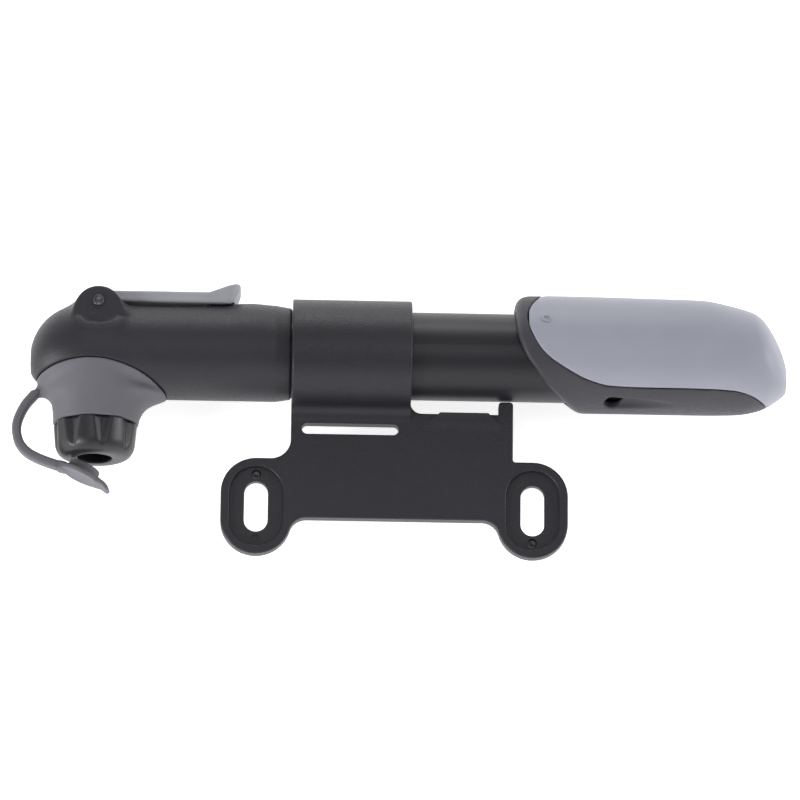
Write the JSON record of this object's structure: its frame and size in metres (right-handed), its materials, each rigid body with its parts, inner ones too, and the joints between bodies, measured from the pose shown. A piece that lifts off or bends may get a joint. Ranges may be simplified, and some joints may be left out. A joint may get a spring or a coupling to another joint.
{
  "type": "bicycle mini pump",
  "caption": "Short bicycle hand pump with a side nozzle, folding lock lever, tethered dust cap and sleeve grip, held in a slotted clip bracket.",
  "frame": {"origin": "on the back face of the bracket's plate, half way between its two bolt slots", "axes": "+X along the barrel towards the grip, +Y from the bolt slots towards the barrel, +Z out of the bracket's front face"},
  "size_m": [0.1797, 0.0633, 0.0274],
  "materials": {
    "bracket": "fine moulded grain, matt black",
    "housing": "fine moulded grain, dark grey",
    "barrel": "smooth satin black",
    "boot_rubber": "matt mid-grey rubber",
    "collar": "satin black",
    "lever": "satin mid-grey",
    "handle_shell": "coarse spark grain, dark grey",
    "handle_cover": "satin bluish-grey soft grip",
    "inner_plastic": "smooth black",
    "black_rubber": "matt black rubber",
    "steel": "plain steel",
    "rod_metal": "drawn aluminium"
  },
  "bodies": {
    "bracket": {"bracket": "bracket"},
    "pump": {"head_housing": "housing", "nozzle_shroud": "boot_rubber", "nozzle_stem": "inner_plastic", "stem_o_ring": "black_rubber", "lever_pin": "steel", "check_valve_seat": "inner_plastic", "check_valve_spring": "steel", "barrel_tube": "barrel", "barrel_gasket": "black_rubber", "barrel_end_bush": "inner_plastic", "rod_o_ring": "black_rubber"},
    "grommet": {"valve_grommet": "black_rubber"},
    "collar": {"valve_collar": "collar"},
    "plunger": {"plunger": "inner_plastic", "plunger_o_rings": "black_rubber", "grommet_washer": "steel"},
    "lever": {"lock_lever": "lever"},
    "valve_disc": {"check_valve_disc": "black_rubber"},
    "rod": {"piston_rod": "rod_metal", "piston_head": "inner_plastic", "piston_cup_seal": "black_rubber", "piston_screw": "steel", "piston_bumper": "black_rubber", "rod_end_washer": "steel", "rod_end_screw": "steel"},
    "handle": {"handle_shell": "handle_shell", "handle_cover": "handle_cover", "handle_guide_ring": "inner_plastic"},
    "strap": {"cap_strap": "boot_rubber"},
    "dust_cap": {"dust_cap": "boot_rubber"}
  },
  "joints": [
    {"name": "turn_in_clip", "type": "hinge", "parent": "bracket", "child": "pump", "pos_m": [-0.0105, 0.0364, 0.0033], "axis": [1, 0, 0], "range_deg": [-45, 45]},
    {"name": "pump_stroke", "type": "slide", "parent": "pump", "child": "rod", "axis": [1, 0, 0], "range_m": [0, 0.1]},
    {"name": "handle_swivel", "type": "hinge", "parent": "rod", "child": "handle", "pos_m": [0.0845, 0.0364, 0.0033], "axis": [1, 0, 0], "continuous": true},
    {"name": "lever_fold", "type": "hinge", "parent": "pump", "child": "lever", "pos_m": [-0.0692, 0.0456, 0.0033], "axis": [0, 0, 1], "range_deg": [0, 90]},
    {"name": "plunger_press", "type": "slide", "parent": "pump", "child": "plunger", "axis": [0, -1, 0], "range_m": [0, 0.0015]},
    {"name": "grommet_travel", "type": "slide", "parent": "pump", "child": "grommet", "axis": [0, -1, 0], "range_m": [0, 0.000375]},
    {"name": "collar_turn", "type": "hinge", "parent": "grommet", "child": "collar", "pos_m": [-0.0695, 0.0144, 0.0033], "axis": [0, -1, 0], "range_deg": [0, 90]},
    {"name": "check_valve_lift", "type": "slide", "parent": "pump", "child": "valve_disc", "axis": [-1, 0, 0], "range_m": [0, 0.0008], "stiffness_N_per_m": 30, "springref_m": -0.0005, "deforming": ["check_valve_spring"]},
    {"name": "strap_flex", "type": "hinge", "parent": "pump", "child": "strap", "pos_m": [-0.08445, 0.0264, 0.0033], "axis": [0, 0, 1], "range_deg": [-25, 0], "stiffness_Nm_per_rad": 0.02},
    {"name": "cap_flex", "type": "hinge", "parent": "strap", "child": "dust_cap", "pos_m": [-0.0782, 0.00865, 0.0033], "axis": [0, 0, 1], "range_deg": [-40, 0], "stiffness_Nm_per_rad": 0.01}
  ],
  "couplings": [
    {"joint": "lever_fold", "follows": "plunger_press", "rad_per_m": 1047.2},
    {"joint": "collar_turn", "follows": "grommet_travel", "rad_per_m": 4188.8}
  ]
}
